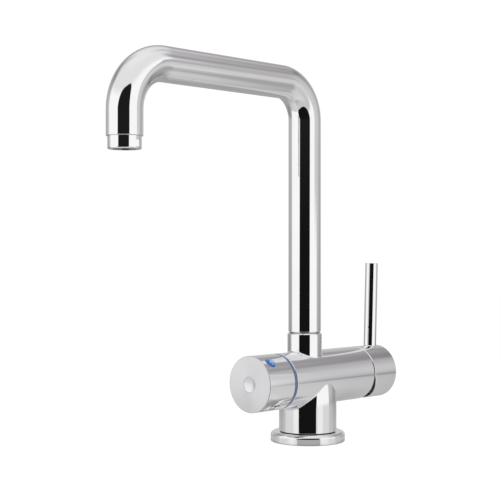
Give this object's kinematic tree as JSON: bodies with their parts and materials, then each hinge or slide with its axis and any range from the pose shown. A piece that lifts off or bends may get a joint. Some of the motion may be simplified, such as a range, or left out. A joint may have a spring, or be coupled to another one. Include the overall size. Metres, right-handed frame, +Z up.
{
  "type": "three-way kitchen tap",
  "caption": "Chrome three-way kitchen sink tap: swivel spout with a square bend, single-lever hot and cold mixer, and a quarter-turn knob for filtered water.",
  "frame": {"origin": "on the deck plane, at the centre of the column and of the base flange", "axes": "+Z up; +X along the barrel towards the mixing lever; -X towards the filtered-water knob and, at rest, the spout's outlet; -Y towards the user"},
  "size_m": [0.3155, 0.064, 0.321],
  "materials": {
    "chrome": "bright chrome plate on brass",
    "brass": "machined brass",
    "steel": "plain stainless steel",
    "shroud": "chrome-plated cover",
    "rubber": "black rubber",
    "white_plastic": "natural white plastic",
    "dark_plastic": "dark grey plastic",
    "red_plastic": "red plastic",
    "blue_plastic": "slate-blue plastic ring",
    "gem": "clear deep-blue faceted plastic",
    "ceramic": "lapped alumina ceramic"
  },
  "bodies": {
    "tap_body": {"body_casting": "chrome", "base_flange": "chrome", "deck_seal": "rubber", "spout_grub_screw": "steel", "filtered_tube_oring": "rubber", "blue_ring": "blue_plastic", "headwork_body": "brass", "headwork_fixed_disc": "ceramic", "headwork_seal": "rubber", "cartridge_housing": "white_plastic", "cartridge_base": "dark_plastic", "cartridge_seals": "rubber", "mixer_fixed_disc": "ceramic", "cartridge_nut": "brass", "dome_shroud": "shroud"},
    "spout_assembly": {"spout_tube": "chrome", "spout_spigot": "brass", "thrust_washer": "dark_plastic", "spout_orings": "rubber", "glide_rings": "white_plastic", "filtered_water_tube": "white_plastic", "nozzle_insert": "brass", "aerator_housing": "chrome", "aerator_washer": "rubber", "flow_insert": "white_plastic", "outlet_grid": "dark_plastic"},
    "knob_assembly": {"filter_knob": "chrome", "knob_cap": "chrome", "knob_screw": "steel", "indicator_gem": "gem", "headwork_spindle": "brass", "headwork_orings": "rubber", "headwork_clip": "steel", "headwork_moving_disc": "ceramic"},
    "rotor_assembly": {"cartridge_rotor": "dark_plastic", "stem_pin": "steel"},
    "lever_assembly": {"cartridge_stem": "steel", "lever_cap": "chrome", "lever_rod": "chrome", "lever_grub_screw": "steel", "grub_screw_plug": "dark_plastic"},
    "disc_assembly": {"disc_carrier": "red_plastic", "mixer_moving_disc": "ceramic"}
  },
  "joints": [
    {"name": "spout_swivel", "type": "hinge", "parent": "tap_body", "child": "spout_assembly", "pos_m": [-0.004, 0, 0.0935], "axis": [0, 0, 1], "continuous": true},
    {"name": "filter_knob_turn", "type": "hinge", "parent": "tap_body", "child": "knob_assembly", "pos_m": [-0.0572, 0, 0.054], "axis": [-1, 0, 0], "range_deg": [0, 90]},
    {"name": "mixer_temperature", "type": "hinge", "parent": "tap_body", "child": "rotor_assembly", "pos_m": [0.062, 0, 0.054], "axis": [1, 0, 0], "range_deg": [-45, 45]},
    {"name": "mixer_flow", "type": "hinge", "parent": "rotor_assembly", "child": "lever_assembly", "pos_m": [0.062, 0, 0.054], "axis": [0, 1, 0], "range_deg": [0, 20]},
    {"name": "disc_slide", "type": "slide", "parent": "rotor_assembly", "child": "disc_assembly", "axis": [0, 0, 1], "range_m": [0, 0.0042]}
  ],
  "couplings": [
    {"joint": "disc_slide", "follows": "mixer_flow", "m_per_rad": 0.0117}
  ]
}
